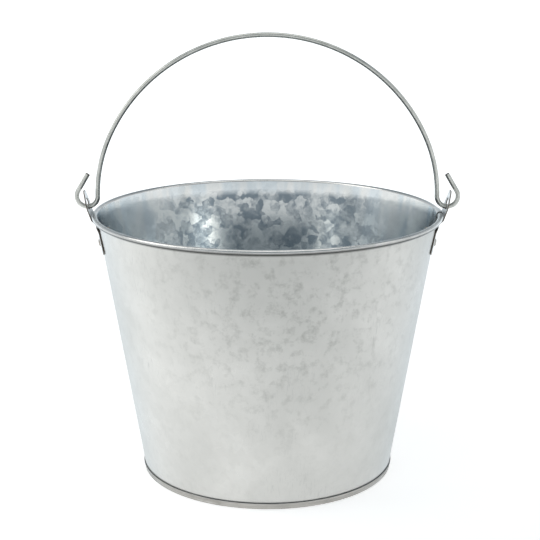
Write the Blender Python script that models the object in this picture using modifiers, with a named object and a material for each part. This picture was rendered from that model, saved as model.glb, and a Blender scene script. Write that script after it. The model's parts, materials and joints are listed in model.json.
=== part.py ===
"""Galvanised steel ice bucket, in metres, +Z up, standing on z = 0.

The tapered wall is one rolled sheet. Its top edge is curled outwards around a
stiffening wire, its two ends lap at +X, and its bottom edge sits in the folded
edge of the pan. Two pressed ears are riveted to the wall at +X and -X. Their
tongues pass outside the rim bead and carry the hooks of the wire bail, which
swings about the X direction.
"""

import math

import bmesh
import bpy
from mathutils import Matrix, Vector

MM = 0.001

# Driving dimensions
RIM_RADIUS = 155 * MM
RIM_HEIGHT = 236 * MM
BASE_RADIUS = 112.1 * MM
WALL_SHEET = 0.6 * MM
EAR_SHEET = 1.0 * MM
GAP = 0.3 * MM
TURN_STEPS = 72
MERGE = 0.01 * MM

# Rim bead: the sheet curls round a wire
BEAD_RADIUS = 2.3 * MM
CURL_END = math.radians(-120)
CURL_STEPS = 11
RIM_WIRE_SIDES = 6

# Side seam: the lap of the wall's two ends, on the inner side
SEAM_TURN_STEPS = 1
SEAM_BASE = 9 * MM
SEAM_RISE = 0.8 * WALL_SHEET

# Bottom pan and its folded foot
FOOT_HEIGHT = 5.5 * MM
FOOT_FLAT = 0.9 * MM
PAN_HEIGHT = 7.2 * MM
PAN_STEP_RADIUS = 92 * MM
PAN_STEP = 1.5 * MM
PAN_CORNER = 2 * MM

# Ears: a wing plate on the wall and a tongue outside the rim bead
WING_TOP_HALF_WIDTH = 35 * MM
WING_BASE_HALF_WIDTH = 42 * MM
WING_BASE = 205 * MM
WING_TOP = 226.5 * MM
WING_CORNER = 3 * MM
WING_FLARE = 0.8 * MM
WING_FLARE_LENGTH = 3 * MM
TONGUE_HALF_WIDTH = 10.5 * MM
TONGUE_ROOT = 224 * MM
TONGUE_KNEE = Vector((155.7 * MM, 229.3 * MM))
TONGUE_ELBOW = Vector((159.1 * MM, 239 * MM))
TONGUE_TOP = Vector((162.5 * MM, 254.6 * MM))
KNEE_BEND = 1.5 * MM
ELBOW_BEND = 12 * MM
TONGUE_TAPER_HEIGHT = 243 * MM
TONGUE_TAPER_BEND = 8 * MM
TONGUE_TOP_HALF_WIDTH = 4 * MM
TONGUE_TOP_BEND = 5 * MM
SLIT = 0.8 * MM
SLIT_CORNER = 0.36 * MM
EYE_HALF_WIDTH = 4.5 * MM
EYE_TOP = 247.5 * MM
EYE_STEPS = 8
COLUMN_WIDTH = 8 * MM
COLUMNS = 6
BEND_PROBE = 0.2 * MM

# Rivets
RIVET_AZIMUTH = math.radians(9.5)
RIVET_HEIGHT = 213 * MM
SHANK_RADIUS = 2 * MM
HEAD_RADIUS = 3.5 * MM
HEAD_RISE = 1.3 * MM
DOME_STEPS = 4
UPSET_RADIUS = 3 * MM
UPSET_RISE = 1.2 * MM
UPSET_SIDE = 0.84 * MM
UPSET_FLAT_RADIUS = 2.25 * MM
RIVET_STEPS = 14
DRILL_DEPTH = 3.6 * MM

# Bail: an arch, two legs that curve down from it, and two hooks
WIRE_RADIUS = 2.1 * MM
HINGE_HEIGHT = 240 * MM
HOOK_RADIUS = 9.3 * MM
ARCH_RADIUS = 153 * MM
ARCH_HALF_ANGLE = math.radians(65)
LEG_RADIUS = 126 * MM
HOOK_LEAN = math.radians(31)
HOOK_TAIL = 17.5 * MM
WIRE_SIDES_RESOLUTION = 2
ARCH_STEPS = 14
LEG_STEPS = 6
HOOK_STEPS = 16

# Sheet middle of the curl, and the wall's slope from a tangent to it
CURL_RADIUS = BEAD_RADIUS - WALL_SHEET / 2
BEAD_CENTRE = Vector((RIM_RADIUS - BEAD_RADIUS, RIM_HEIGHT - BEAD_RADIUS))
BASE_TO_BEAD = BEAD_CENTRE - Vector((BASE_RADIUS, 0))
TAPER = math.atan2(BASE_TO_BEAD.x, BASE_TO_BEAD.y) - math.asin(CURL_RADIUS / BASE_TO_BEAD.length)
WALL_NORMAL = Vector((math.cos(TAPER), -math.sin(TAPER)))

# The fold under the wall's bottom edge, between the middles of its two sheets
FOLD_HALF_WIDTH = WALL_SHEET + GAP
WALL_BASE = FOLD_HALF_WIDTH + WALL_SHEET / 2


def clear_scene():
    for obj in list(bpy.data.objects):
        bpy.data.objects.remove(obj, do_unlink=True)


def new_collection(name):
    collection = bpy.data.collections.new(name)
    bpy.context.scene.collection.children.link(collection)
    return collection


def metal(name, color, roughness):
    material = bpy.data.materials.new(name)
    material.use_nodes = True
    shader = material.node_tree.nodes["Principled BSDF"]
    shader.inputs["Base Color"].default_value = (*color, 1)
    shader.inputs["Metallic"].default_value = 1
    shader.inputs["Roughness"].default_value = roughness
    return material


def place(name, mesh, collection, material=None):
    """Make the object of a mesh, shaded smooth up to 30 degrees."""
    mesh.shade_smooth()
    mesh.set_sharp_from_angle(angle=math.radians(30))
    obj = bpy.data.objects.new(name, mesh)
    collection.objects.link(obj)
    if material:
        mesh.materials.append(material)
    return obj


def wall_middle(z, offset=0):
    """The point of the wall's middle surface at height z, moved out along its normal."""
    point = Vector((BASE_RADIUS + z * math.tan(TAPER), z))
    return point + WALL_NORMAL * offset


def arc(centre, radius, start, end, steps):
    """Points along an arc, after its first point."""
    return [
        centre + Vector((math.cos(turn), math.sin(turn))) * radius
        for turn in (start + (end - start) * step / steps for step in range(1, steps + 1))
    ]


def rounded(corners, steps=4):
    """A polyline through (point, corner radius) pairs, with each corner as an arc."""
    points = [corners[0][0]]
    for (before, _), (corner, radius), (after, _) in zip(corners, corners[1:], corners[2:]):
        to_before = (before - corner).normalized()
        to_after = (after - corner).normalized()
        half_angle = to_before.angle(to_after) / 2
        start = corner + to_before * radius / math.tan(half_angle)
        centre = corner + (to_before + to_after).normalized() * radius / math.sin(half_angle)
        spoke = start - centre
        turn = math.pi - 2 * half_angle
        if to_before.x * to_after.y - to_before.y * to_after.x > 0:
            turn = -turn
        first = math.atan2(spoke.y, spoke.x)
        points.append(start)
        points += arc(centre, spoke.length, first, first + turn, steps)
    points.append(corners[-1][0])
    return points


def line_mesh(name, outline):
    """An open chain of edges in the XZ plane."""
    mesh = bpy.data.meshes.new(name)
    edges = [(index, index + 1) for index in range(len(outline) - 1)]
    mesh.from_pydata([(point.x, 0, point.y) for point in outline], edges, [])
    return mesh


def add_screw(obj, angle, steps):
    screw = obj.modifiers.new("turn", "SCREW")
    screw.angle = angle
    screw.steps = steps
    screw.render_steps = steps
    screw.use_merge_vertices = True
    screw.merge_threshold = MERGE


def add_solidify(obj, thickness):
    solidify = obj.modifiers.new("sheet", "SOLIDIFY")
    solidify.thickness = thickness
    solidify.offset = 0
    solidify.use_even_offset = True


def add_boolean(obj, other, operation):
    boolean = obj.modifiers.new(other.name, "BOOLEAN")
    boolean.operation = operation
    boolean.solver = "EXACT"
    boolean.object = other


def turned_sheet(name, outline, thickness, collection, material=None, steps=TURN_STEPS):
    """Sheet metal turned about Z from the middle line of its section."""
    obj = place(name, line_mesh(name, outline), collection, material)
    add_screw(obj, steps * math.tau / TURN_STEPS, steps)
    add_solidify(obj, thickness)
    return obj


def helper(obj):
    obj.hide_render = True
    obj.display_type = "WIRE"


def wall_outline(base, offset):
    """The wall's section from its base to the end of the curl, moved inwards by offset."""
    points = [wall_middle(base, -offset)]
    start = math.pi - TAPER
    radius = CURL_RADIUS + offset
    points.append(BEAD_CENTRE - WALL_NORMAL * radius)
    points += arc(BEAD_CENTRE, radius, start, CURL_END, CURL_STEPS)
    return points


def rivet_frames():
    """Name and placement of each rivet, with local +Z out of the wall at its middle surface."""
    foot = wall_middle(RIVET_HEIGHT)
    frames = {}
    for side, towards in (("left", math.pi), ("right", 0)):
        for end, turn in (("front", -RIVET_AZIMUTH), ("rear", RIVET_AZIMUTH)):
            azimuth = towards + (turn if side == "right" else -turn)
            tilt = Matrix.Rotation(math.pi / 2 + TAPER, 4, "Y")
            spin = Matrix.Rotation(azimuth, 4, "Z")
            frames[f"{side}_{end}_rivet"] = (
                spin @ Matrix.Translation((foot.x, 0, foot.y)) @ tilt
            )
    return frames


def make_wall(parts, cutters, material):
    wall = turned_sheet("wall_shell", wall_outline(WALL_BASE, 0), WALL_SHEET, parts, material)
    seam = turned_sheet(
        "seam_lap", wall_outline(SEAM_BASE, SEAM_RISE), WALL_SHEET, cutters, steps=SEAM_TURN_STEPS
    )
    helper(seam)
    seam.rotation_euler.z = -SEAM_TURN_STEPS * math.tau / TURN_STEPS
    add_boolean(wall, seam, "UNION")
    for name, frame in rivet_frames().items():
        drill_mesh = bpy.data.meshes.new(name + "_drill")
        shape = bmesh.new()
        bmesh.ops.create_cone(
            shape,
            cap_ends=True,
            segments=RIVET_STEPS,
            radius1=SHANK_RADIUS + GAP,
            radius2=SHANK_RADIUS + GAP,
            depth=DRILL_DEPTH,
        )
        shape.to_mesh(drill_mesh)
        shape.free()
        drill = place(name + "_drill", drill_mesh, cutters)
        drill.matrix_world = frame
        helper(drill)
        add_boolean(wall, drill, "DIFFERENCE")


def make_rim_wire(parts, material):
    bpy.ops.mesh.primitive_torus_add(
        major_radius=BEAD_CENTRE.x,
        minor_radius=BEAD_RADIUS - WALL_SHEET - GAP,
        major_segments=TURN_STEPS,
        minor_segments=RIM_WIRE_SIDES,
    )
    ring = bpy.context.object
    ring.name = "rim_wire"
    ring.location.z = BEAD_CENTRE.y
    ring.data.materials.append(material)
    ring.data.shade_smooth()
    for collection in ring.users_collection:
        collection.objects.unlink(ring)
    parts.objects.link(ring)


def make_bottom_pan(parts, material):
    """The pan's disc, its flange down the inside of the wall and its fold up the outside."""
    inner_top = wall_middle(PAN_HEIGHT, -FOLD_HALF_WIDTH)
    fold_height = WALL_SHEET / 2
    inner_corner = wall_middle(fold_height, -FOLD_HALF_WIDTH)
    outer_corner = wall_middle(fold_height, FOLD_HALF_WIDTH)
    inner_corner.y = fold_height
    outer_corner.y = fold_height
    band_top = wall_middle(FOOT_HEIGHT, FOLD_HALF_WIDTH)
    fold_bend = FOLD_HALF_WIDTH - FOOT_FLAT / 2
    outline = rounded(
        [
            (Vector((0, PAN_HEIGHT - PAN_STEP)), 0),
            (Vector((PAN_STEP_RADIUS, PAN_HEIGHT - PAN_STEP)), PAN_STEP / 2),
            (Vector((PAN_STEP_RADIUS + PAN_STEP, PAN_HEIGHT)), PAN_STEP / 2),
            (Vector((inner_top.x, PAN_HEIGHT)), PAN_CORNER),
            (inner_corner, fold_bend),
            (outer_corner, fold_bend),
            (band_top, 0),
        ],
        steps=2,
    )
    turned_sheet("bottom_pan", outline, WALL_SHEET, parts, material)


def along(path, distance):
    """The point at a distance along a polyline, carried on past its ends."""
    for index in range(len(path) - 1):
        run = path[index + 1] - path[index]
        if distance <= run.length or index == len(path) - 2:
            return path[index] + run.normalized() * distance
        distance -= run.length


def length_to_height(path, z):
    """The length of a rising polyline up to height z."""
    distance = 0
    for before, after in zip(path, path[1:]):
        run = after - before
        if z <= after.y:
            return distance + run.length * (z - before.y) / run.y
        distance += run.length
    return distance


def ear_sections():
    """Middle lines of the ear's sheet through the tongue and through the wings, from the base up."""
    lift = WALL_SHEET / 2 + GAP + EAR_SHEET / 2
    base = wall_middle(WING_BASE, lift)
    tongue = rounded(
        [
            (base, 0),
            (wall_middle(TONGUE_ROOT, lift), KNEE_BEND),
            (TONGUE_KNEE, KNEE_BEND),
            (TONGUE_ELBOW, ELBOW_BEND),
            (TONGUE_TOP, 0),
        ],
        steps=3,
    )
    flare_root = wall_middle(WING_TOP - WING_FLARE_LENGTH, lift)
    flare_top = wall_middle(WING_TOP, lift + WING_FLARE)
    return tongue, [base, flare_root, flare_top]


def slit_base(tongue):
    return length_to_height(tongue, TONGUE_ROOT - KNEE_BEND)


def ear_blank_loops(tongue, wing):
    """The flat blank's outline and holes: x across the ear, y up the sheet."""
    wing_top = length_to_height(wing, WING_TOP)
    slit_foot = slit_base(tongue)
    taper = length_to_height(tongue, TONGUE_TAPER_HEIGHT)
    top = length_to_height(tongue, TONGUE_TOP.y)
    half = rounded(
        [
            (Vector((0, 0)), 0),
            (Vector((WING_BASE_HALF_WIDTH, 0)), WING_CORNER),
            (Vector((WING_TOP_HALF_WIDTH, wing_top)), WING_CORNER),
            (Vector((TONGUE_HALF_WIDTH + SLIT, wing_top)), SLIT_CORNER),
            (Vector((TONGUE_HALF_WIDTH + SLIT, slit_foot)), SLIT_CORNER),
            (Vector((TONGUE_HALF_WIDTH, slit_foot)), SLIT_CORNER),
            (Vector((TONGUE_HALF_WIDTH, taper)), TONGUE_TAPER_BEND),
            (Vector((TONGUE_TOP_HALF_WIDTH, top)), TONGUE_TOP_BEND),
            (Vector((0, top)), 0),
        ],
        steps=4,
    )
    half = half[1:-1]
    outline = half + [Vector((-point.x, point.y)) for point in reversed(half)]
    eye_top = Vector((0, length_to_height(tongue, EYE_TOP) - EYE_HALF_WIDTH))
    eye_foot = length_to_height(tongue, HINGE_HEIGHT - WIRE_RADIUS - GAP)
    eye_foot = Vector((0, eye_foot + EYE_HALF_WIDTH))
    eye = arc(eye_top, EYE_HALF_WIDTH, 0, math.pi, EYE_STEPS)
    eye += arc(eye_foot, EYE_HALF_WIDTH, math.pi, math.tau, EYE_STEPS)
    loops = [outline, eye]
    rivet_y = length_to_height(wing, RIVET_HEIGHT)
    rivet_x = RIVET_AZIMUTH * wall_middle(RIVET_HEIGHT).x
    for side in (-1, 1):
        centre = Vector((side * rivet_x, rivet_y))
        loops.append(arc(centre, SHANK_RADIUS + GAP, 0, math.tau, RIVET_STEPS))
    return loops


def cut_blank(shape, point, normal, keep):
    """Add a line of vertices to the faces that keep(centre) allows."""
    faces = [face for face in shape.faces if keep(face.calc_center_median())]
    edges = {edge for face in faces for edge in face.edges}
    verts = {vert for face in faces for vert in face.verts}
    bmesh.ops.bisect_plane(
        shape,
        geom=list(verts) + list(edges) + faces,
        dist=MERGE,
        plane_co=point,
        plane_no=normal,
    )


def make_ear(name, towards, parts, material):
    """Cut the flat blank, then bend it to the wall's curve and to its two sections."""
    tongue, wing = ear_sections()
    shape = bmesh.new()
    for loop in ear_blank_loops(tongue, wing):
        verts = [shape.verts.new((point.x, point.y, 0)) for point in loop]
        for before, after in zip(verts, verts[1:] + verts[:1]):
            shape.edges.new((before, after))
    bmesh.ops.triangle_fill(shape, edges=shape.edges[:], use_beauty=True)
    slit_middle = TONGUE_HALF_WIDTH + SLIT / 2
    slit_foot = slit_base(tongue)
    across, up = Vector((1, 0, 0)), Vector((0, 1, 0))
    for column in range(COLUMNS):
        for side in (-1, 1):
            line = Vector((side * column * COLUMN_WIDTH, 0, 0))
            cut_blank(shape, line, across, lambda centre: True)
    heights = [0]
    for before, after in zip(tongue, tongue[1:]):
        heights.append(heights[-1] + (after - before).length)
    for height in heights[1:-1]:
        line = Vector((0, height, 0))
        cut_blank(shape, line, up, lambda centre: abs(centre.x) < slit_middle and centre.y > slit_foot)
    line = Vector((0, length_to_height(wing, WING_TOP - WING_FLARE_LENGTH), 0))
    cut_blank(shape, line, up, lambda centre: abs(centre.x) > slit_middle)
    extruded = bmesh.ops.extrude_face_region(shape, geom=shape.faces[:])["geom"]
    for vert in extruded:
        if isinstance(vert, bmesh.types.BMVert):
            vert.co.z = EAR_SHEET
    bend_radius = wall_middle(RIVET_HEIGHT).x
    for vert in shape.verts:
        section = wing if abs(vert.co.x) > slit_middle else tongue
        middle = along(section, vert.co.y)
        run = along(section, vert.co.y + BEND_PROBE) - along(section, vert.co.y - BEND_PROBE)
        outwards = Vector((run.y, -run.x)).normalized()
        point = middle + outwards * (vert.co.z - EAR_SHEET / 2)
        azimuth = vert.co.x / bend_radius
        vert.co = (point.x * math.cos(azimuth), point.x * math.sin(azimuth), point.y)
    bmesh.ops.recalc_face_normals(shape, faces=shape.faces[:])
    mesh = bpy.data.meshes.new(name)
    shape.to_mesh(mesh)
    shape.free()
    ear = place(name, mesh, parts, material)
    ear.rotation_euler.z = towards


def make_rivets(parts, material):
    """Domed outer head, shank through ear and wall, and flat upset inner head."""
    under_head = WALL_SHEET / 2 + GAP + EAR_SHEET + GAP
    over_upset = -WALL_SHEET / 2 - GAP
    outline = [Vector((0, under_head + HEAD_RISE))]
    for step in range(1, DOME_STEPS + 1):
        turn = math.pi / 2 * step / DOME_STEPS
        outline.append(
            Vector((HEAD_RADIUS * math.sin(turn), under_head + HEAD_RISE * math.cos(turn)))
        )
    outline += [
        Vector((SHANK_RADIUS, under_head)),
        Vector((SHANK_RADIUS, over_upset)),
        Vector((UPSET_RADIUS, over_upset)),
        Vector((UPSET_RADIUS, over_upset - UPSET_SIDE)),
        Vector((UPSET_FLAT_RADIUS, over_upset - UPSET_RISE)),
        Vector((0, over_upset - UPSET_RISE)),
    ]
    for name, frame in rivet_frames().items():
        rivet = place(name, line_mesh(name, outline), parts, material)
        add_screw(rivet, math.tau, RIVET_STEPS)
        rivet.matrix_world = frame


def bail_half():
    """The wire's centre line from the top of the arch to the hook's end, about the hinge."""
    quarter = math.pi / 2
    spread = ARCH_RADIUS - LEG_RADIUS
    direction = Vector((math.sin(ARCH_HALF_ANGLE), math.cos(ARCH_HALF_ANGLE)))
    leg_centre = Vector((direction.x * spread, HOOK_RADIUS))
    arch_centre = Vector((0, HOOK_RADIUS - direction.y * spread))
    points = [arch_centre + Vector((0, ARCH_RADIUS))]
    turn = quarter - ARCH_HALF_ANGLE
    points += arc(arch_centre, ARCH_RADIUS, quarter, turn, ARCH_STEPS)
    points += arc(leg_centre, LEG_RADIUS, turn, 0, LEG_STEPS)
    hook_centre = points[-1] + Vector((HOOK_RADIUS, 0))
    points += arc(hook_centre, HOOK_RADIUS, math.pi, math.tau + HOOK_LEAN, HOOK_STEPS)
    points.append(points[-1] + Vector((-math.sin(HOOK_LEAN), math.cos(HOOK_LEAN))) * HOOK_TAIL)
    return points


def make_bail(parts, material):
    half = bail_half()
    points = [Vector((-point.x, point.y)) for point in reversed(half[1:])] + half
    curve = bpy.data.curves.new("bail", "CURVE")
    curve.dimensions = "3D"
    curve.bevel_depth = WIRE_RADIUS
    curve.bevel_resolution = WIRE_SIDES_RESOLUTION
    curve.use_fill_caps = True
    spline = curve.splines.new("POLY")
    spline.points.add(len(points) - 1)
    for target, point in zip(spline.points, points):
        target.co = (point.x, 0, point.y, 1)
    curve.materials.append(material)
    bail = bpy.data.objects.new("bail", curve)
    bail.location.z = HINGE_HEIGHT
    parts.objects.link(bail)


def main():
    clear_scene()
    parts = new_collection("ice_bucket")
    cutters = new_collection("cutters")
    galvanised = metal("galvanised_sheet", (0.66, 0.69, 0.71), 0.38)
    pressed = metal("galvanised_pressing", (0.55, 0.57, 0.57), 0.42)
    rivet_steel = metal("rivet_steel", (0.5, 0.5, 0.49), 0.4)
    wire = metal("galvanised_wire", (0.44, 0.47, 0.46), 0.36)
    make_wall(parts, cutters, galvanised)
    make_rim_wire(parts, wire)
    make_bottom_pan(parts, galvanised)
    make_ear("right_ear", 0, parts, pressed)
    make_ear("left_ear", math.pi, parts, pressed)
    make_rivets(parts, rivet_steel)
    make_bail(parts, wire)


main()
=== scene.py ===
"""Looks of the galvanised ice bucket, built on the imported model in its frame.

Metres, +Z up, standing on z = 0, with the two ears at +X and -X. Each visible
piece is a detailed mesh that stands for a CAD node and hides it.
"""

import json
import math

import bmesh
import bpy
from mathutils import Matrix, Vector, noise


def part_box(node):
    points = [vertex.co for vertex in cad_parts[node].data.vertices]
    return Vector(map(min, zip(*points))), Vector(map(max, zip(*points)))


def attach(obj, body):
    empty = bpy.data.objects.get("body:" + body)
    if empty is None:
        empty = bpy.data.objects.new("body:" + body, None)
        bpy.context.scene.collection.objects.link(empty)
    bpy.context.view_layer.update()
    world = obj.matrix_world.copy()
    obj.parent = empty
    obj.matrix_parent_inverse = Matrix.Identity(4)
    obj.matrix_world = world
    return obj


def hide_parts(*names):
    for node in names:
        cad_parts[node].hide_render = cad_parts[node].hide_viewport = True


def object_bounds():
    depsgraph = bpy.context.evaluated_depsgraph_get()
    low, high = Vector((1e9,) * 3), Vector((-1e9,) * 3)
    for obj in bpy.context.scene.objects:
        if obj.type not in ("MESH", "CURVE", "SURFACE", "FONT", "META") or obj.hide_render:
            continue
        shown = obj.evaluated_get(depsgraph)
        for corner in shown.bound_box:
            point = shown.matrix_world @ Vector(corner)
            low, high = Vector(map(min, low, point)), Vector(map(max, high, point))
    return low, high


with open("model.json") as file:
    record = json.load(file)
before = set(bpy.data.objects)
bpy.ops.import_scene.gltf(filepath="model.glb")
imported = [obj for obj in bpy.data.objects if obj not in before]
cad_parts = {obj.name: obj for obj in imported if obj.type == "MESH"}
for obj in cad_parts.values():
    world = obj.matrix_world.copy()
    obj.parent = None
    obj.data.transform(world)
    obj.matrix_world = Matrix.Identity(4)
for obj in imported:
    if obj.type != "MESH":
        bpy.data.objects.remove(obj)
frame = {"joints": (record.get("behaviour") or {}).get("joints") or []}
cad_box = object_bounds()

MM = 0.001

# Sizes of the real pieces: the rim's come from the boxes of the CAD nodes
WIRE_TO_RIM = 0.9 * MM
RIM_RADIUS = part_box("rim_wire")[1].x + WIRE_TO_RIM
RIM_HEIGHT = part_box("wall_shell")[1].z
BASE_RADIUS = 112.1 * MM
WALL_SHEET = 0.6 * MM
EAR_SHEET = 1.0 * MM
GAP = 0.3 * MM
TURN_STEPS = 288
WALL_STEPS = 26

# A sheet's rounded cut end, as shares of half its thickness
CUT_END_REACH = 0.6
CUT_END_WIDTH = 0.7

# Slight waves of the rolled wall and of the folded foot
WALL_WAVES = 0.35 * MM
WALL_WAVES_START = 12 * MM
WALL_WAVES_SPAN = 185 * MM
FOOT_WAVES = 0.07 * MM

# Rim bead: the wall's top edge curled outwards round a wire
BEAD_RADIUS = 2.3 * MM
CURL_END = math.radians(-120)
CURL_STEPS = 22

# Side seam: the sheet's rear end laps over its front end, on the inner side
LAP_START = math.radians(-3)
LAP_END = math.radians(2)
LAP_RAMP = math.radians(5)
LAP_RISE = 0.8 * MM
LAP_BASE = 9 * MM
LAP_STEPS = 5
LAP_RAMP_STEPS = 8

# Bottom pan and its folded foot
FOOT_HEIGHT = 5.5 * MM
FOOT_FLAT = 0.9 * MM
PAN_HEIGHT = 7.2 * MM
PAN_STEP_RADIUS = 92 * MM
PAN_STEP = 1.5 * MM
PAN_CORNER = 2 * MM

# Ears: a wing plate on the wall and a tongue outside the rim bead
WING_TOP_HALF_WIDTH = 35 * MM
WING_BASE_HALF_WIDTH = 42 * MM
WING_BASE = 205 * MM
WING_TOP = 226.5 * MM
WING_CORNER = 3 * MM
WING_FLARE = 0.8 * MM
WING_FLARE_LENGTH = 3 * MM
TONGUE_HALF_WIDTH = 10.5 * MM
TONGUE_ROOT = 224 * MM
TONGUE_KNEE = Vector((155.7 * MM, 229.3 * MM))
TONGUE_ELBOW = Vector((159.1 * MM, 239 * MM))
TONGUE_TOP = Vector((162.5 * MM, 254.6 * MM))
KNEE_BEND = 1.5 * MM
ELBOW_BEND = 12 * MM
TONGUE_TAPER_HEIGHT = 243 * MM
TONGUE_TAPER_BEND = 8 * MM
TONGUE_TOP_HALF_WIDTH = 4 * MM
TONGUE_TOP_BEND = 5 * MM
SLIT = 0.8 * MM
SLIT_CORNER = 0.36 * MM
EYE_HALF_WIDTH = 4.5 * MM
EYE_TOP = 247.5 * MM
EYE_STEPS = 16
EAR_COLUMN = 2 * MM
EDGE_ROUNDING = 0.2 * MM
BEND_PROBE = 0.2 * MM

# Rivets
RIVET_AZIMUTH = math.radians(9.5)
RIVET_HEIGHT = 213 * MM
SHANK_RADIUS = 2 * MM
HEAD_RADIUS = 3.5 * MM
HEAD_RISE = 1.3 * MM
UPSET_RADIUS = 3 * MM
UPSET_RISE = 1.2 * MM
RIVET_STEPS = 48

# Bail: an arch, two legs that curve down from it, and two hooks
WIRE_RADIUS = 2.1 * MM
HINGE_HEIGHT = frame["joints"][0]["pos_m"][2]
HOOK_RADIUS = 9.3 * MM
ARCH_RADIUS = 153 * MM
ARCH_HALF_ANGLE = math.radians(65)
LEG_RADIUS = 126 * MM
HOOK_LEAN = math.radians(31)
HOOK_TAIL = 17.5 * MM
WIRE_SIDES = 28
WIRE_END_BEVEL = 0.25 * MM
WIRE_END_SHARE = 0.86
ARCH_STEPS = 40
LEG_STEPS = 16
HOOK_STEPS = 44

# Sheet middle of the curl, and the wall's slope from a tangent to it
CURL_RADIUS = BEAD_RADIUS - WALL_SHEET / 2
BEAD_CENTRE = Vector((RIM_RADIUS - BEAD_RADIUS, RIM_HEIGHT - BEAD_RADIUS))
BASE_TO_BEAD = BEAD_CENTRE - Vector((BASE_RADIUS, 0))
TAPER = math.atan2(BASE_TO_BEAD.x, BASE_TO_BEAD.y)
TAPER -= math.asin(CURL_RADIUS / BASE_TO_BEAD.length)
WALL_NORMAL = Vector((math.cos(TAPER), -math.sin(TAPER)))
FOLD_HALF_WIDTH = WALL_SHEET + GAP
WALL_BASE = FOLD_HALF_WIDTH + WALL_SHEET / 2

# Camera, solved from the outlines in the photo, and floor
CAMERA_DISTANCE = 1.187
CAMERA_HEIGHT = 0.484
CAMERA_PITCH = math.radians(14.29)
CAMERA_FIELD = math.radians(22.43)
AXIS_OFF_CENTRE = 0.0048
FLOOR_REACH = 30


# ---------------------------------------------------------------- outlines


def evenly(start, end, steps):
    return [start + (end - start) * step / steps for step in range(steps + 1)]


def polar(centre, radius, angle):
    return centre + Vector((math.cos(angle), math.sin(angle))) * radius


def arc(centre, radius, start, end, steps):
    """Points along an arc, after its first point."""
    return [polar(centre, radius, angle) for angle in evenly(start, end, steps)[1:]]


def wall_middle(z, offset=0):
    """The point of the wall's middle surface at height z, moved out along its normal."""
    return Vector((BASE_RADIUS + z * math.tan(TAPER), z)) + WALL_NORMAL * offset


def rounded(corners, steps):
    """A polyline through (point, corner radius) pairs, with each corner as an arc."""
    points = [corners[0][0]]
    for (before, _), (corner, radius), (after, _) in zip(corners, corners[1:], corners[2:]):
        to_before = (before - corner).normalized()
        to_after = (after - corner).normalized()
        half_angle = to_before.angle(to_after) / 2
        start = corner + to_before * radius / math.tan(half_angle)
        centre = corner + (to_before + to_after).normalized() * radius / math.sin(half_angle)
        spoke = start - centre
        turn = math.pi - 2 * half_angle
        if to_before.x * to_after.y - to_before.y * to_after.x > 0:
            turn = -turn
        first = math.atan2(spoke.y, spoke.x)
        points.append(start)
        points += arc(centre, spoke.length, first, first + turn, steps)
    points.append(corners[-1][0])
    return points


def divided(points, spacing):
    """The same polyline with long runs divided evenly."""
    result = [points[0]]
    for before, after in zip(points, points[1:]):
        count = max(1, math.ceil((after - before).length / spacing))
        result += [before.lerp(after, step / count) for step in range(1, count + 1)]
    return result


def sheet_loop(middle, thickness):
    """The closed outline of a sheet round its middle line, with rounded cut edges."""
    half = thickness / 2
    last = len(middle) - 1
    runs = [
        (middle[min(index + 1, last)] - middle[max(index - 1, 0)]).normalized()
        for index in range(last + 1)
    ]
    sides = [Vector((run.y, -run.x)) * half for run in runs]
    outer = [point + side for point, side in zip(middle, sides)]
    inner = [point - side for point, side in zip(middle, sides)]
    end = middle[-1] + runs[-1] * half * CUT_END_REACH
    start = middle[0] - runs[0] * half * CUT_END_REACH
    end_edge = [end + sides[-1] * CUT_END_WIDTH, end - sides[-1] * CUT_END_WIDTH]
    start_edge = [start - sides[0] * CUT_END_WIDTH, start + sides[0] * CUT_END_WIDTH]
    return outer + end_edge + inner[::-1] + start_edge


# ---------------------------------------------------------------- meshes


def place_mesh(name, mesh, sharp):
    """Shade a mesh smooth but for edges over the sharp angle, and add it to the scene."""
    mesh.shade_smooth()
    mesh.set_sharp_from_angle(angle=math.radians(sharp))
    piece = bpy.data.objects.new(name, mesh)
    bpy.context.scene.collection.objects.link(piece)
    return piece


def new_piece(name, verts, faces, materials, indices=None, sharp=40):
    mesh = bpy.data.meshes.new(name)
    mesh.from_pydata(verts, [], faces)
    for material in materials:
        mesh.materials.append(material)
    if indices:
        mesh.polygons.foreach_set("material_index", indices)
    shape = bmesh.new()
    shape.from_mesh(mesh)
    bmesh.ops.recalc_face_normals(shape, faces=shape.faces[:])
    shape.to_mesh(mesh)
    shape.free()
    return place_mesh(name, mesh, sharp)


def stands_for(piece, node, body):
    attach(piece, body)
    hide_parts(node)


def skin(loops, closed):
    """Vertices and faces over a row of closed loops of 3-D points."""
    count = len(loops[0])
    verts = [point for loop in loops for point in loop]
    faces = []
    for span in range(len(loops) if closed else len(loops) - 1):
        here = span * count
        there = (span + 1) % len(loops) * count
        for step in range(count):
            after = (step + 1) % count
            faces.append((here + step, there + step, there + after, here + after))
    if not closed:
        faces.append(tuple(range(count)))
        faces.append(tuple(range(len(verts) - count, len(verts))))
    return verts, faces


def spun(point, azimuth):
    return Vector((point.x * math.cos(azimuth), point.x * math.sin(azimuth), point.y))


def whole_turn():
    return [math.tau * step / TURN_STEPS for step in range(TURN_STEPS)]


def smoothstep(value):
    value = min(1, max(0, value))
    return value * value * (3 - 2 * value)


# ---------------------------------------------------------------- wall


def wall_waver(azimuth, z):
    """Slight waves of the rolled sheet, fading out at the rim and at the foot."""
    spot = spun(Vector((1.7, z * 9)), azimuth)
    fade = math.sin(math.pi * min(1, max(0, (z - WALL_WAVES_START) / WALL_WAVES_SPAN)))
    return WALL_WAVES * fade * noise.noise(spot)


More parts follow.
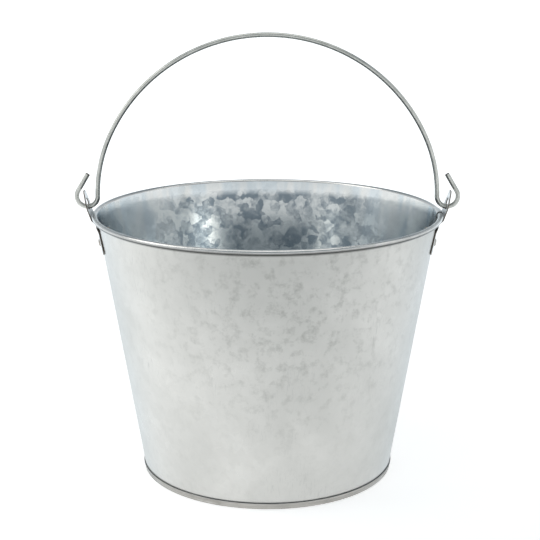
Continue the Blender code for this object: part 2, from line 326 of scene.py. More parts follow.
def wall_section(azimuth, lap):
    """The wall's closed outline where the sheet is moved in by lap, a share of the lap's rise."""
    offset = lap * LAP_RISE
    base = WALL_BASE + (LAP_BASE - WALL_BASE) * (lap > 0.5)
    start = math.pi - TAPER
    curl = [polar(BEAD_CENTRE, CURL_RADIUS + offset, start)]
    curl += arc(BEAD_CENTRE, CURL_RADIUS + offset, start, CURL_END, CURL_STEPS)
    foot = wall_middle(base, -offset)
    straight = [foot.lerp(curl[0], step / WALL_STEPS) for step in range(WALL_STEPS)]
    straight = [point + WALL_NORMAL * wall_waver(azimuth, point.y) for point in straight]
    return sheet_loop(straight + curl, WALL_SHEET), len(straight), len(curl)


def make_wall(outside, inside, bead, edge):
    """One sheet from its rear end at LAP_START, round the bucket, to its front end at LAP_END."""
    azimuths = evenly(LAP_START, LAP_END, LAP_STEPS)
    azimuths += evenly(LAP_END, LAP_END + LAP_RAMP, LAP_RAMP_STEPS)[1:]
    azimuths += evenly(LAP_END + LAP_RAMP, LAP_END + math.tau, TURN_STEPS)[1:]
    loops = []
    for azimuth in azimuths:
        lap = 1 - smoothstep((azimuth - LAP_END) / LAP_RAMP)
        section, straight, curl = wall_section(azimuth, lap)
        loops.append([spun(point, azimuth) for point in section])
    verts, faces = skin(loops, closed=False)
    count = len(loops[0])
    side = straight + curl
    outer, inner, curled, cut = range(4)
    indices = []
    for index in range(len(faces)):
        step = index % count
        cut_end = index >= len(faces) - 2
        if cut_end or side - 1 <= step < side + 2 or step >= 2 * side + 1:
            indices.append(cut)
        elif step < straight:
            indices.append(outer)
        elif step < side + 1 + curl:
            indices.append(curled)
        else:
            indices.append(inner)
    wall = new_piece("wall", verts, faces, [outside, inside, bead, edge], indices)
    stands_for(wall, "wall_shell", "bucket")


def make_rim_wire(material):
    radius = BEAD_RADIUS - WALL_SHEET - 0.1 * MM
    section = arc(BEAD_CENTRE, radius, 0, math.tau, 12)
    loops = [[spun(point, azimuth) for point in section] for azimuth in whole_turn()]
    verts, faces = skin(loops, closed=True)
    ring = new_piece("rim_stiffener", verts, faces, [material])
    stands_for(ring, "rim_wire", "bucket")


# ---------------------------------------------------------------- pan


def make_pan(pan, band, edge):
    """The pan's disc, its flange down the inside of the wall and its fold up the outside."""
    fold_height = WALL_SHEET / 2
    inner_top = wall_middle(PAN_HEIGHT, -FOLD_HALF_WIDTH)
    inner_corner = Vector((wall_middle(fold_height, -FOLD_HALF_WIDTH).x, fold_height))
    outer_corner = Vector((wall_middle(fold_height, FOLD_HALF_WIDTH).x, fold_height))
    band_top = wall_middle(FOOT_HEIGHT, FOLD_HALF_WIDTH)
    band_lip = wall_middle(FOOT_HEIGHT - 0.5 * MM, FOLD_HALF_WIDTH + 0.12 * MM)
    fold_bend = FOLD_HALF_WIDTH - FOOT_FLAT / 2
    middle = rounded(
        [
            (Vector((1 * MM, PAN_HEIGHT - PAN_STEP)), 0),
            (Vector((PAN_STEP_RADIUS, PAN_HEIGHT - PAN_STEP)), PAN_STEP / 2),
            (Vector((PAN_STEP_RADIUS + PAN_STEP, PAN_HEIGHT)), PAN_STEP / 2),
            (Vector((inner_top.x, PAN_HEIGHT)), PAN_CORNER),
            (inner_corner, fold_bend),
            (outer_corner, fold_bend),
            (band_lip, 0.4 * MM),
            (band_top - WALL_NORMAL * 0.06 * MM, 0),
        ],
        steps=6,
    )
    middle = divided(middle, 12 * MM)
    section = sheet_loop(middle, WALL_SHEET)[:-2]
    loops = []
    for azimuth in whole_turn():
        wave = FOOT_WAVES * noise.noise(spun(Vector((2.2, 0)), azimuth))
        loop = []
        for point in section:
            share = smoothstep((point.x - inner_top.x) / (3 * MM))
            loop.append(spun(point + Vector((wave * share, 0)), azimuth))
        loops.append(loop)
    verts, faces = skin(loops, closed=True)
    count = len(section)
    steps = count - 1
    faces = [face for index, face in enumerate(faces) if index % count < steps]
    faces.append(tuple(range(0, len(verts), count)))
    faces.append(tuple(range(steps, len(verts), count)))
    fold = min(index for index, point in enumerate(middle) if point.y < 2 * MM)
    disc, folded, cut = range(3)
    indices = []
    for index in range(len(faces)):
        step = index % steps
        cap = index >= len(faces) - 2
        if cap or step < fold or step >= 2 * len(middle) - fold:
            indices.append(disc)
        elif len(middle) - 1 <= step <= len(middle) + 1:
            indices.append(cut)
        else:
            indices.append(folded)
    piece = new_piece("pan", verts, faces, [pan, band, edge], indices)
    stands_for(piece, "bottom_pan", "bucket")


# ---------------------------------------------------------------- ears


def along(path, distance):
    """The point at a distance along a polyline, carried on past its ends."""
    for index in range(len(path) - 1):
        run = path[index + 1] - path[index]
        if distance <= run.length or index == len(path) - 2:
            return path[index] + run.normalized() * distance
        distance -= run.length


def length_to_height(path, z):
    """The length of a rising polyline up to height z."""
    distance = 0
    for before, after in zip(path, path[1:]):
        run = after - before
        if z <= after.y:
            return distance + run.length * (z - before.y) / run.y
        distance += run.length
    return distance


def ear_sections():
    """Middle lines of the ear's sheet through the tongue and through the wings, from the base up."""
    lift = WALL_SHEET / 2 + GAP + EAR_SHEET / 2
    base = wall_middle(WING_BASE, lift)
    tongue = rounded(
        [
            (base, 0),
            (wall_middle(TONGUE_ROOT, lift), KNEE_BEND),
            (TONGUE_KNEE, KNEE_BEND),
            (TONGUE_ELBOW, ELBOW_BEND),
            (TONGUE_TOP, 0),
        ],
        steps=6,
    )
    wing = rounded(
        [
            (base, 0),
            (wall_middle(WING_TOP - WING_FLARE_LENGTH, lift), 8 * MM),
            (wall_middle(WING_TOP, lift + WING_FLARE), 0),
        ],
        steps=4,
    )
    return tongue, wing


def ear_blank_loops(tongue, wing):
    """The flat blank's outline, counter-clockwise, and its holes, clockwise; y is up the sheet."""
    wing_top = length_to_height(wing, WING_TOP)
    slit_foot = length_to_height(tongue, TONGUE_ROOT - KNEE_BEND)
    taper_start = length_to_height(tongue, TONGUE_TAPER_HEIGHT)
    top = length_to_height(tongue, TONGUE_TOP.y)
    half = rounded(
        [
            (Vector((0, 0)), 0),
            (Vector((WING_BASE_HALF_WIDTH, 0)), WING_CORNER),
            (Vector((WING_TOP_HALF_WIDTH, wing_top)), WING_CORNER),
            (Vector((TONGUE_HALF_WIDTH + SLIT, wing_top)), SLIT_CORNER),
            (Vector((TONGUE_HALF_WIDTH + SLIT, slit_foot)), SLIT_CORNER),
            (Vector((TONGUE_HALF_WIDTH, slit_foot)), SLIT_CORNER),
            (Vector((TONGUE_HALF_WIDTH, taper_start)), TONGUE_TAPER_BEND),
            (Vector((TONGUE_TOP_HALF_WIDTH, top)), TONGUE_TOP_BEND),
            (Vector((0, top)), 0),
        ],
        steps=8,
    )
    half = half[1:-1]
    outline = half + [Vector((-point.x, point.y)) for point in reversed(half)]
    eye_top = Vector((0, length_to_height(tongue, EYE_TOP) - EYE_HALF_WIDTH))
    eye_foot = length_to_height(tongue, HINGE_HEIGHT - WIRE_RADIUS - GAP)
    eye_foot = Vector((0, eye_foot + EYE_HALF_WIDTH))
    eye = arc(eye_top, EYE_HALF_WIDTH, 0, math.pi, EYE_STEPS)
    eye += arc(eye_foot, EYE_HALF_WIDTH, math.pi, math.tau, EYE_STEPS)
    loops = [outline, eye[::-1]]
    rivet_y = length_to_height(wing, RIVET_HEIGHT)
    rivet_x = RIVET_AZIMUTH * wall_middle(RIVET_HEIGHT).x
    for side in (-1, 1):
        centre = Vector((side * rivet_x, rivet_y))
        loops.append(arc(centre, SHANK_RADIUS + GAP / 2, math.tau, 0, 24))
    return loops


def edge_rings(loop):
    """A loop's rings down the sheet's cut edge, which is rounded at both faces: (height, points)."""
    count = len(loop)
    inwards = []
    for index in range(count):
        run = loop[(index + 1) % count] - loop[index - 1]
        inwards.append(Vector((-run.y, run.x)).normalized())
    rings = []
    half_straight = EAR_SHEET / 2 - EDGE_ROUNDING
    for side in (1, -1):
        for step in range(4):
            share = step if side > 0 else 3 - step
            turn = math.pi / 2 * share / 3
            inset = EDGE_ROUNDING * (1 - math.sin(turn))
            height = side * (half_straight + EDGE_ROUNDING * math.cos(turn))
            ring = [point + inward * inset for point, inward in zip(loop, inwards)]
            rings.append((height, ring))
    return rings


def cut_blank(shape, point, normal, keep):
    """Add a line of vertices to the faces that keep(centre) allows."""
    faces = [face for face in shape.faces if keep(face.calc_center_median())]
    edges = {edge for face in faces for edge in face.edges}
    verts = {vert for face in faces for vert in face.verts}
    bmesh.ops.bisect_plane(
        shape,
        geom=list(verts) + list(edges) + faces,
        dist=0.01 * MM,
        plane_co=point,
        plane_no=normal,
    )


def ear_blank(tongue, wing):
    """The flat blank as a closed plate: face layer 0 is rolled surface, 1 is the cut edge."""
    shape = bmesh.new()
    top_edges = []
    foot_edges = []
    for loop in ear_blank_loops(tongue, wing):
        rings = [
            [shape.verts.new((point.x, point.y, height)) for point in points]
            for height, points in edge_rings(loop)
        ]
        for upper, lower in zip(rings, rings[1:]):
            for index in range(len(upper)):
                after = (index + 1) % len(upper)
                face = shape.faces.new((upper[index], upper[after], lower[after], lower[index]))
                face.material_index = 1
        for ring, edges in ((rings[0], top_edges), (rings[-1], foot_edges)):
            for index in range(len(ring)):
                edges.append(shape.edges.get((ring[index], ring[(index + 1) % len(ring)])))
    for edges in (top_edges, foot_edges):
        bmesh.ops.triangle_fill(shape, edges=edges, use_beauty=True)
    return shape


def make_ear(name, node, towards, surface, edge):
    """Cut the flat blank, then bend it to the wall's curve and to its two sections."""
    tongue, wing = ear_sections()
    shape = ear_blank(tongue, wing)
    slit_middle = TONGUE_HALF_WIDTH + SLIT / 2
    slit_foot = length_to_height(tongue, TONGUE_ROOT - KNEE_BEND)
    across, up = Vector((1, 0, 0)), Vector((0, 1, 0))
    for column in range(int(WING_BASE_HALF_WIDTH / EAR_COLUMN) + 1):
        for side in (-1, 1):
            cut_blank(shape, across * side * column * EAR_COLUMN, across, lambda centre: True)
    for path, inside in ((tongue, True), (wing, False)):
        height = 0
        for before, after in zip(path, path[1:-1]):
            height += (after - before).length
            cut_blank(
                shape,
                up * height,
                up,
                lambda centre: (abs(centre.x) < slit_middle and centre.y > slit_foot) == inside,
            )
    bend_radius = wall_middle(RIVET_HEIGHT).x
    for vert in shape.verts:
        section = wing if abs(vert.co.x) > slit_middle else tongue
        middle = along(section, vert.co.y)
        run = along(section, vert.co.y + BEND_PROBE) - along(section, vert.co.y - BEND_PROBE)
        outwards = Vector((run.y, -run.x)).normalized()
        point = middle + outwards * vert.co.z
        vert.co = spun(point, vert.co.x / bend_radius + towards)
    bmesh.ops.recalc_face_normals(shape, faces=shape.faces[:])
    mesh = bpy.data.meshes.new(name)
    shape.to_mesh(mesh)
    shape.free()
    mesh.materials.append(surface)
    mesh.materials.append(edge)
    stands_for(place_mesh(name, mesh, sharp=35), node, "bucket")


# ---------------------------------------------------------------- rivets


def rivet_frames():
    """Name and placement of each rivet, with local +Z out of the wall at its middle surface."""
    foot = wall_middle(RIVET_HEIGHT)
    frames = {}
    for side, towards in (("left", math.pi), ("right", 0)):
        for place, turn in (("front", -RIVET_AZIMUTH), ("rear", RIVET_AZIMUTH)):
            azimuth = towards + (turn if side == "right" else -turn)
            tilt = Matrix.Rotation(math.pi / 2 + TAPER, 4, "Y")
            spin = Matrix.Rotation(azimuth, 4, "Z")
            move = Matrix.Translation((foot.x, 0, foot.y))
            frames[f"{side}_{place}_rivet"] = spin @ move @ tilt
    return frames


def make_rivets(material):
    """Domed outer head with a soft edge, shank through ear and wall, and flattened inner end."""
    under_head = WALL_SHEET / 2 + GAP + EAR_SHEET
    over_upset = -WALL_SHEET / 2
    rim = HEAD_RISE * 0.3
    outline = rounded(
        [
            (Vector((0.2 * MM, under_head + HEAD_RISE)), 0),
            (Vector((HEAD_RADIUS * 0.62, under_head + HEAD_RISE * 0.96)), 2.2 * MM),
            (Vector((HEAD_RADIUS, under_head + rim)), 0.35 * MM),
            (Vector((HEAD_RADIUS * 0.97, under_head)), 0),
        ],
        steps=5,
    )
    outline += [Vector((SHANK_RADIUS, under_head)), Vector((SHANK_RADIUS, over_upset))]
    outline += rounded(
        [
            (Vector((UPSET_RADIUS * 0.96, over_upset)), 0),
            (Vector((UPSET_RADIUS, over_upset - UPSET_RISE * 0.5)), 0.5 * MM),
            (Vector((UPSET_RADIUS * 0.8, over_upset - UPSET_RISE)), 0.4 * MM),
            (Vector((0.2 * MM, over_upset - UPSET_RISE)), 0),
        ],
        steps=4,
    )
    for node, placement in rivet_frames().items():
        loops = [
            [placement @ spun(point, math.tau * step / RIVET_STEPS) for step in range(RIVET_STEPS)]
            for point in outline
        ]
        verts, faces = skin(loops, closed=False)
        rivet = new_piece(node + "_head", verts, faces, [material], sharp=50)
        stands_for(rivet, node, "bucket")


# ---------------------------------------------------------------- bail


def bail_half():
    """The wire's centre line from the top of the arch to the hook's end, about the hinge."""
    arch_end = math.pi / 2 - ARCH_HALF_ANGLE
    spread = ARCH_RADIUS - LEG_RADIUS
    leg_centre = Vector((spread * math.cos(arch_end), HOOK_RADIUS))
    arch_centre = Vector((0, HOOK_RADIUS - spread * math.sin(arch_end)))
    points = [arch_centre + Vector((0, ARCH_RADIUS))]
    points += arc(arch_centre, ARCH_RADIUS, math.pi / 2, arch_end, ARCH_STEPS)
    points += arc(leg_centre, LEG_RADIUS, arch_end, 0, LEG_STEPS)
    hook_centre = points[-1] + Vector((HOOK_RADIUS, 0))
    points += arc(hook_centre, HOOK_RADIUS, math.pi, math.tau + HOOK_LEAN, HOOK_STEPS)
    tail = points[-1] + Vector((-math.sin(HOOK_LEAN), math.cos(HOOK_LEAN))) * HOOK_TAIL
    return divided(points + [tail], 3 * MM)


def wire_ring(centre, run, share):
    """A ring round the wire, in world coordinates, at a share of its radius."""
    side = Vector((run.y, 0, -run.x))
    origin = Vector((centre.x, 0, centre.y + HINGE_HEIGHT))
    ring = []
    for step in range(WIRE_SIDES):
        turn = math.tau * step / WIRE_SIDES
        spoke = side * math.cos(turn) + Vector((0, math.sin(turn), 0))
        ring.append(origin + spoke * WIRE_RADIUS * share)
    return ring


def make_bail(surface, cut_end):
    half = bail_half()
    centres = [Vector((-point.x, point.y)) for point in reversed(half[1:])] + half
    last = len(centres) - 1
    runs = [
        (centres[min(index + 1, last)] - centres[max(index - 1, 0)]).normalized()
        for index in range(last + 1)
    ]
    loops = [wire_ring(centre, run, 1) for centre, run in zip(centres, runs)]
    loops.insert(0, wire_ring(centres[0] - runs[0] * WIRE_END_BEVEL, runs[0], WIRE_END_SHARE))
    loops.append(wire_ring(centres[-1] + runs[-1] * WIRE_END_BEVEL, runs[-1], WIRE_END_SHARE))
    verts, faces = skin(loops, closed=False)
    end_bevel = len(faces) - 2 - WIRE_SIDES
    indices = [int(index < WIRE_SIDES or index >= end_bevel) for index in range(len(faces))]
    bail = new_piece("bail_wire", verts, faces, [surface, cut_end], indices, sharp=35)
    stands_for(bail, "bail", "bail")


# ---------------------------------------------------------------- materials


def add(tree, kind, inputs, **settings):
    """Add a node, set its settings, and link or set its inputs by name or number."""
    made = tree.nodes.new(kind)
    for key, value in settings.items():
        setattr(made, key, value)
    for key, value in inputs.items():
        if isinstance(value, bpy.types.NodeSocket):
            tree.links.new(value, made.inputs[key])
        else:
            made.inputs[key].default_value = value
    return made


def metal(name, roughness, edge_tint=(0.84, 0.89, 0.93)):
    """A metal whose reflection at a grazing angle is a little dimmer and cooler."""
    material = bpy.data.materials.new(name)
    material.use_nodes = True
    tree = material.node_tree
    shader = tree.nodes["Principled BSDF"]
    shader.inputs["Metallic"].default_value = 1
    shader.inputs["Roughness"].default_value = roughness
    shader.inputs["Specular Tint"].default_value = (*edge_tint, 1)
    return material, tree, shader


def object_coordinates(tree):
    return tree.nodes.new("ShaderNodeTexCoord").outputs["Object"]


def axis_in(tree, coordinates, axis):
    return add(tree, "ShaderNodeSeparateXYZ", {0: coordinates}).outputs[axis]


def math_node(tree, operation, first, second):
    return add(tree, "ShaderNodeMath", {0: first, 1: second}, operation=operation).outputs[0]


def vector_node(tree, operation, inputs, output="Vector"):
    return add(tree, "ShaderNodeVectorMath", inputs, operation=operation).outputs[output]


def remap(tree, value, low, high, to_low=0, to_high=1):
    inputs = {"Value": value, 1: low, 2: high, 3: to_low, 4: to_high}
    return add(tree, "ShaderNodeMapRange", inputs, clamp=True).outputs[0]


def absolute(tree, value):
    return add(tree, "ShaderNodeMath", {0: value}, operation="ABSOLUTE").outputs[0]


def mix_color(tree, factor, first, second):
    """Blend two colours, each a socket or red, green and blue."""
    inputs = {0: factor}
    for key, color in ((6, first), (7, second)):
        inputs[key] = (*color, 1) if isinstance(color, tuple) else color
    return add(tree, "ShaderNodeMix", inputs, data_type="RGBA").outputs[2]


def weighted_sum(tree, parts):
    """Add up values, each in a (value, weight) pair."""
    total, *others = [math_node(tree, "MULTIPLY", value, weight) for value, weight in parts]
    for other in others:
        total = math_node(tree, "ADD", total, other)
    return total


def stain_and_shade(tree, color, mask, strength, stain):
    """Lay a stain, or a painted shade, over a colour where a mask allows it."""
    return mix_color(tree, math_node(tree, "MULTIPLY", mask, strength), color, stain)


def noise_value(tree, coordinates, scale, detail=4.0, roughness=0.55, distortion=0.0):
    inputs = {
        "Vector": coordinates,
        "Scale": scale,
        "Detail": detail,
        "Roughness": roughness,
        "Distortion": distortion,
    }
    return add(tree, "ShaderNodeTexNoise", inputs).outputs["Fac"]


def stretched(tree, coordinates, scale, rotation=(0, 0, 0)):
    inputs = {"Vector": coordinates, "Scale": scale, "Rotation": rotation}
    return add(tree, "ShaderNodeMapping", inputs).outputs["Vector"]


def spangle(tree, coordinates, scale):
    """Zinc crystals: one value for each cell, with feathered borders."""
    noise_inputs = {"Vector": coordinates, "Scale": scale * 1.6, "Detail": 3.0}
    feather = add(tree, "ShaderNodeTexNoise", noise_inputs).outputs["Color"]
    feather = vector_node(tree, "SUBTRACT", {0: feather, 1: (0.5, 0.5, 0.5)})
    feather = vector_node(tree, "SCALE", {0: feather, "Scale": 0.9 / scale})
    moved = vector_node(tree, "ADD", {0: coordinates, 1: feather})
    cells = add(tree, "ShaderNodeTexVoronoi", {"Vector": moved, "Scale": scale}).outputs["Color"]
    return add(tree, "ShaderNodeSeparateColor", {0: cells}).outputs[0]


def scratches(tree, coordinates, rotation, threshold):
    """Fine straight scuffs in one direction, 0 to 1."""
    lines = noise_value(tree, stretched(tree, coordinates, (700, 700, 22), rotation), 1.0, 2.0)
    zones = noise_value(tree, coordinates, 26, 2.0)
    lines = remap(tree, lines, threshold, threshold + 0.06)
    return math_node(tree, "MULTIPLY", lines, remap(tree, zones, 0.52, 0.68))


def dress(tree, shader, color, roughness, relief, depth, strength):
    """Give a metal its colour, its roughness and a relief of a depth in metres."""
    inputs = {"Height": relief, "Distance": depth, "Strength": strength}
    normal = add(tree, "ShaderNodeBump", inputs).outputs["Normal"]
    tree.links.new(color, shader.inputs["Base Color"])
    tree.links.new(roughness, shader.inputs["Roughness"])
    tree.links.new(normal, shader.inputs["Normal"])


def outer_wall_material():
    """Hot-dip zinc, dulled by handling: faint crystals, clouds, finger smudges and scuffs, with
    painted shade over the upper front and a painted shadow line under the rim bead.
    """
    material, tree, shader = metal("zinc_outside", 0.34)
    place = object_coordinates(tree)
    crystals = spangle(tree, place, 120)
    clouds = noise_value(tree, place, 9, 6.0, 0.62, 0.4)
    fingers = noise_value(tree, place, 110, 7.0, 0.7, 0.1)
    # Painted shade: a broad darkening of the upper front round this spot; the real finger smudges
    # gather here too.
    shade_and_smudge_spot = (0.026, -0.142, 0.188)
    spot_distance = vector_node(tree, "DISTANCE", {0: place, 1: shade_and_smudge_spot}, "Value")
    shade_and_smudge_zone = remap(tree, spot_distance, 0.01, 0.15, 1, 0.16)
    smudges = math_node(tree, "MULTIPLY", remap(tree, fingers, 0.5, 0.72), shade_and_smudge_zone)
    falling = scratches(tree, place, (0, 0.5, 0.3), 0.6)
    rising = scratches(tree, place, (0.2, -0.9, 1.1), 0.6)
    scuffs = math_node(tree, "ADD", falling, rising)
    color = mix_color(tree, crystals, (0.66, 0.657, 0.634), (0.7, 0.697, 0.674))
    color = mix_color(tree, remap(tree, clouds, 0.38, 0.66), color, (0.6, 0.6, 0.578))
    # Painted shade over the upper front of the wall.
    color = stain_and_shade(tree, color, shade_and_smudge_zone, 0.16, (0.44, 0.445, 0.42))
    color = stain_and_shade(tree, color, smudges, 0.8, (0.34, 0.345, 0.325))
    color = stain_and_shade(tree, color, scuffs, 0.25, (0.42, 0.43, 0.42))
    # Painted shadow: the wall turns near black just under the rim bead, where it meets the curl.
    height = axis_in(tree, place, "Z")
    bead_crease_shadow = remap(tree, height, RIM_HEIGHT - 6.6 * MM, RIM_HEIGHT - 5 * MM, 0, 0.9)
    color = mix_color(tree, bead_crease_shadow, color, (0.12, 0.12, 0.11))
    grain = noise_value(tree, place, 900, 3.0)
    cloudy = remap(tree, clouds, 0.3, 0.7, 0.27, 0.4)
    grainy = remap(tree, grain, 0.3, 0.7, -0.03, 0.03)
    roughness = math_node(tree, "ADD", cloudy, grainy)
    roughness = math_node(tree, "ADD", roughness, math_node(tree, "MULTIPLY", smudges, 0.12))
    relief = weighted_sum(tree, ((crystals, 0.4), (grain, 0.5)))
    dress(tree, shader, color, roughness, relief, 0.02 * MM, 0.35)
    return material


def inner_wall_material():
    """Bright zinc with strong crystals, and painted reflections as light vertical streaks under the
    rim and towards the ears.
    """
    material, tree, shader = metal("zinc_inside", 0.2, (0.96, 0.98, 1))
    place = object_coordinates(tree)
    coarse = spangle(tree, place, 115)
    fine = spangle(tree, place, 270)
    blotches = noise_value(tree, place, 75, 5.0, 0.6, 0.2)
    blotches = remap(tree, blotches, 0.38, 0.62)
    crystals = weighted_sum(tree, ((coarse, 0.5), (fine, 0.2), (blotches, 0.3)))
    shade = remap(tree, crystals, 0.27, 0.75)
    color = mix_color(tree, shade, (0.25, 0.3, 0.34), (0.7, 0.725, 0.725))
    height = axis_in(tree, place, "Z")
    # Painted reflection: light streaks over the crystals under the rim and towards the ears.
    painted_sheen = remap(tree, height, RIM_HEIGHT - 15 * MM, RIM_HEIGHT - 9 * MM, 0, 0.9)
    sideways = absolute(tree, axis_in(tree, place, "X"))
    painted_sheen = math_node(tree, "MAXIMUM", painted_sheen, remap(tree, sideways, 0.08, 0.135, 0, 0.95))
    # Vertical streaks of the painted reflection.
    runs = noise_value(tree, stretched(tree, place, (70, 70, 6)), 1.0, 2.0)
    runs = remap(tree, runs, 0.4, 0.6)
    sheen_color = mix_color(tree, runs, (0.83, 0.89, 0.92), (0.99, 0.995, 0.975))
    color = mix_color(tree, painted_sheen, color, sheen_color)
    roughness = remap(tree, crystals, 0.1, 0.9, 0.24, 0.13)
    dress(tree, shader, color, roughness, crystals, 0.04 * MM, 0.35)
    return material


def bead_material():
    """The curled rim, marked and streaked, with painted shade turning its lower half near black."""
    material, tree, shader = metal("zinc_rim", 0.26)
    place = object_coordinates(tree)
    marks = noise_value(tree, place, 60, 6.0, 0.6, 0.4)
    streaks = noise_value(tree, stretched(tree, place, (90, 90, 900)), 1.0, 3.0)
    shade = remap(tree, marks, 0.4, 0.68, 0, 0.7)
    color = mix_color(tree, shade, (0.74, 0.74, 0.73), (0.56, 0.565, 0.55))
    color = mix_color(tree, remap(tree, streaks, 0.45, 0.7, 0, 0.3), color, (0.46, 0.465, 0.45))
    # Painted shade: the bead's lower half turns near black.
    height = axis_in(tree, place, "Z")
    bead_underside_shade = remap(tree, height, BEAD_CENTRE.y - 1.1 * MM, BEAD_CENTRE.y + 0.6 * MM, 0.96, 0)
    color = mix_color(tree, bead_underside_shade, color, (0.05, 0.05, 0.045))
    roughness = remap(tree, marks, 0.3, 0.7, 0.18, 0.32)
    dress(tree, shader, color, roughness, streaks, 0.02 * MM, 0.3)
    return material


def foot_material():
    """The folded foot: scuffed zinc with fine lines along the band."""
    material, tree, shader = metal("zinc_foot", 0.42)
    place = object_coordinates(tree)
    lines = noise_value(tree, stretched(tree, place, (14, 14, 2200)), 1.0, 3.0)
    marks = noise_value(tree, place, 70, 6.0, 0.62, 0.3)
    shade = remap(tree, lines, 0.38, 0.64)
    color = mix_color(tree, shade, (0.54, 0.525, 0.5), (0.37, 0.36, 0.335))
    color = mix_color(tree, remap(tree, marks, 0.48, 0.7, 0, 0.55), color, (0.33, 0.315, 0.29))
    roughness = remap(tree, marks, 0.3, 0.7, 0.34, 0.52)
    dress(tree, shader, color, roughness, lines, 0.04 * MM, 0.4)
    return material


def cut_edge_material(name, dark, light):
    """Bare sheared steel, tarnished brown where the zinc was cut through."""
    material, tree, shader = metal(name, 0.5)
    place = object_coordinates(tree)
    marks = noise_value(tree, place, 420, 5.0, 0.65)
    color = mix_color(tree, remap(tree, marks, 0.35, 0.65), dark, light)
    roughness = remap(tree, marks, 0.3, 0.7, 0.38, 0.6)
    dress(tree, shader, color, roughness, marks, 0.04 * MM, 0.5)
    return material


def pressing_material():
    """The ears: pressed zinc-coated plate, with painted shade darkening the fold behind the tongue.
    """
    material, tree, shader = metal("zinc_pressing", 0.34)
    place = object_coordinates(tree)
    crystals = spangle(tree, place, 260)
    marks = noise_value(tree, place, 150, 6.0, 0.62, 0.4)
    color = mix_color(tree, crystals, (0.68, 0.69, 0.68), (0.82, 0.83, 0.83))
    color = mix_color(tree, remap(tree, marks, 0.5, 0.72, 0, 0.7), color, (0.38, 0.375, 0.36))
    height = axis_in(tree, place, "Z")
    reach = absolute(tree, axis_in(tree, place, "X"))
    lean = (TONGUE_ELBOW.x - TONGUE_KNEE.x) / (TONGUE_ELBOW.y - TONGUE_KNEE.y)
    upright = math_node(tree, "SUBTRACT", reach, math_node(tree, "MULTIPLY", height, lean))
    middle = TONGUE_KNEE.x - TONGUE_KNEE.y * lean
    # Painted shade: the tongue's inner face turns near black brown at the knee and a few millimetres
    # above it.
    inner_face = remap(tree, upright, middle - 0.3 * MM, middle + 0.2 * MM, 1, 0)
    fold = remap(tree, height, TONGUE_KNEE.y, TONGUE_KNEE.y + 6 * MM, 0.92, 0)
    above_wings = remap(tree, height, WING_TOP, WING_TOP + 1.5 * MM)
    fold = math_node(tree, "MULTIPLY", math_node(tree, "MULTIPLY", fold, above_wings), inner_face)
    color = mix_color(tree, fold, color, (0.1, 0.085, 0.065))
    roughness = remap(tree, marks, 0.3, 0.7, 0.26, 0.44)
    dress(tree, shader, color, roughness, marks, 0.04 * MM, 0.4)
    return material


def wire_material(name, light, dark, roughness):
    """Drawn zinc-coated wire: dull patches and a fine grain."""
    material, tree, shader = metal(name, roughness)
    place = object_coordinates(tree)
    patches = noise_value(tree, place, 70, 6.0, 0.6, 0.4)
    grain = noise_value(tree, place, 520, 4.0, 0.6)
    color = mix_color(tree, remap(tree, patches, 0.38, 0.66), light, dark)
    color = mix_color(tree, remap(tree, grain, 0.5, 0.75, 0, 0.25), color, (0.3, 0.31, 0.29))
    rough = remap(tree, grain, 0.3, 0.7, roughness - 0.04, roughness + 0.07)
    dress(tree, shader, color, rough, grain, 0.02 * MM, 0.15)
    return material


def rivet_material():
    """Steel rivet with brown tarnish in patches."""
    material, tree, shader = metal("rivet_steel", 0.36)
    place = object_coordinates(tree)
    marks = noise_value(tree, place, 330, 5.0, 0.6, 0.5)
    shade = remap(tree, marks, 0.42, 0.62)
    color = mix_color(tree, shade, (0.56, 0.54, 0.505), (0.33, 0.27, 0.215))
    roughness = remap(tree, marks, 0.3, 0.7, 0.28, 0.5)
    dress(tree, shader, color, roughness, marks, 0.05 * MM, 0.5)
    return material


# ---------------------------------------------------------------- stage


def make_camera():
    camera = bpy.data.cameras.new("camera")
    camera.lens = camera.sensor_width / 2 / math.tan(CAMERA_FIELD / 2)
    camera.shift_x = AXIS_OFF_CENTRE
    holder = bpy.data.objects.new("camera", camera)
    holder.location = (0, -CAMERA_DISTANCE, CAMERA_HEIGHT)
    holder.rotation_euler = (math.pi / 2 - CAMERA_PITCH, 0, 0)
    bpy.context.scene.collection.objects.link(holder)
    bpy.context.scene.camera = holder


def area_light(name, location, aim, size, power, color):
    light = bpy.data.lights.new(name, "AREA")
    light.shape = "RECTANGLE"
    light.size, light.size_y = size
    light.energy = power
    light.color = color
    holder = bpy.data.objects.new(name, light)
    holder.location = location
    direction = Vector(aim) - Vector(location)
    holder.rotation_euler = direction.to_track_quat("-Z", "Y").to_euler()
    bpy.context.scene.collection.objects.link(holder)


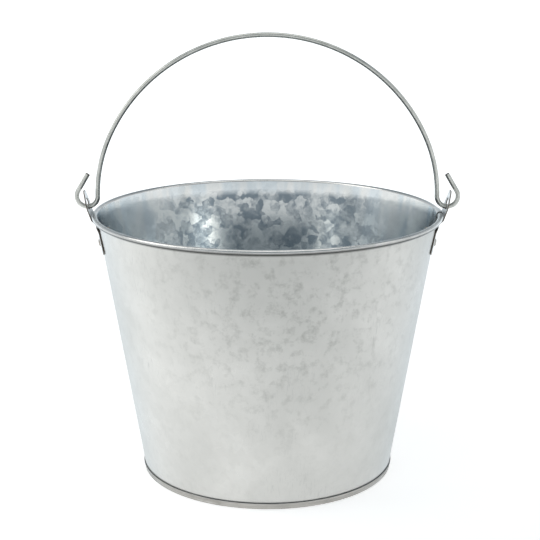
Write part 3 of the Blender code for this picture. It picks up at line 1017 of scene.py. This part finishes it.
def make_floor():
    """A white floor that glows with painted light of its own, so that it stays white away from the
    bucket.
    """
    mesh = bpy.data.meshes.new("floor")
    reach = FLOOR_REACH
    corners = [(-reach, -reach, 0), (reach, -reach, 0), (reach, reach, 0), (-reach, reach, 0)]
    mesh.from_pydata(corners, [], [(0, 1, 2, 3)])
    floor = bpy.data.objects.new("floor", mesh)
    floor.location.z = cad_box[0].z - 0.05 * MM
    bpy.context.scene.collection.objects.link(floor)
    material = bpy.data.materials.new("pale_floor")
    material.use_nodes = True
    tree = material.node_tree
    shader = tree.nodes["Principled BSDF"]
    shader.inputs["Base Color"].default_value = (0.85, 0.85, 0.85, 1)
    shader.inputs["Roughness"].default_value = 0.9
    shader.inputs["Specular IOR Level"].default_value = 0.1
    shader.inputs["Emission Color"].default_value = (1, 1, 1, 1)
    place = object_coordinates(tree)
    sideways = axis_in(tree, place, "X")
    depth = axis_in(tree, place, "Y")
    # Painted light: the glow is dim in front of the bucket, a little dimmer to its right, and
    # stronger close to it, behind it and far off.
    near = remap(tree, depth, -0.75, -0.05, 0.05, 0.62)
    near = math_node(tree, "MULTIPLY", near, remap(tree, sideways, 0, 0.4, 1, 0.86))
    near = math_node(tree, "ADD", near, remap(tree, depth, 0.3, 1.5, 0, 0.4))
    distance = vector_node(tree, "LENGTH", {0: place}, "Value")
    far = remap(tree, distance, 0.7, 2.0, 0, 0.8)
    tree.links.new(math_node(tree, "MAXIMUM", near, far), shader.inputs["Emission Strength"])
    mesh.materials.append(material)


def make_world():
    """Soft white surroundings, a little darker in front and blue-grey overhead."""
    world = bpy.data.worlds.new("studio")
    world.use_nodes = True
    tree = world.node_tree
    direction = tree.nodes.new("ShaderNodeTexCoord").outputs["Generated"]
    height = axis_in(tree, direction, "Z")
    depth = axis_in(tree, direction, "Y")
    front = remap(tree, depth, -1.0, -0.4, 1, 0)
    horizon = mix_color(tree, front, (0.92, 0.94, 0.95), (0.84, 0.86, 0.87))
    overhead = remap(tree, height, 0.05, 0.6)
    color = mix_color(tree, overhead, horizon, (0.26, 0.3, 0.33))
    tree.links.new(color, tree.nodes["Background"].inputs["Color"])
    tree.nodes["Background"].inputs["Strength"].default_value = 1
    bpy.context.scene.world = world


def make_lights():
    warm = (1, 0.97, 0.92)
    area_light("left_softbox", (-0.95, -0.15, 0.85), (-0.4, -0.15, 0), (0.7, 0.8), 3, warm)
    area_light("right_softbox", (1.1, -0.1, 0.9), (0.45, -0.1, 0), (0.6, 0.7), 0.9, warm)
    area_light("overhead", (0.0, -0.1, 1.5), (0, -0.1, 0), (1.5, 1.1), 5.2, warm)


def build():
    edge = cut_edge_material("cut_edge", (0.11, 0.095, 0.08), (0.26, 0.225, 0.185))
    wire_end = cut_edge_material("wire_end", (0.05, 0.045, 0.04), (0.16, 0.13, 0.11))
    zinc_edge = cut_edge_material("sheet_edge", (0.2, 0.21, 0.21), (0.42, 0.43, 0.43))
    wire = wire_material("zinc_wire", (0.64, 0.645, 0.61), (0.47, 0.48, 0.45), 0.27)
    inside = inner_wall_material()
    make_wall(outer_wall_material(), inside, bead_material(), zinc_edge)
    make_rim_wire(wire_material("rim_wire_steel", (0.3, 0.3, 0.29), (0.2, 0.2, 0.19), 0.45))
    make_pan(inside, foot_material(), zinc_edge)
    pressing = pressing_material()
    make_ear("ear_right", "right_ear", 0, pressing, edge)
    make_ear("ear_left", "left_ear", math.pi, pressing, edge)
    make_rivets(rivet_material())
    make_bail(wire, wire_end)
    make_camera()
    make_floor()
    make_world()
    make_lights()
    bpy.context.scene.view_settings.view_transform = "Standard"


build()
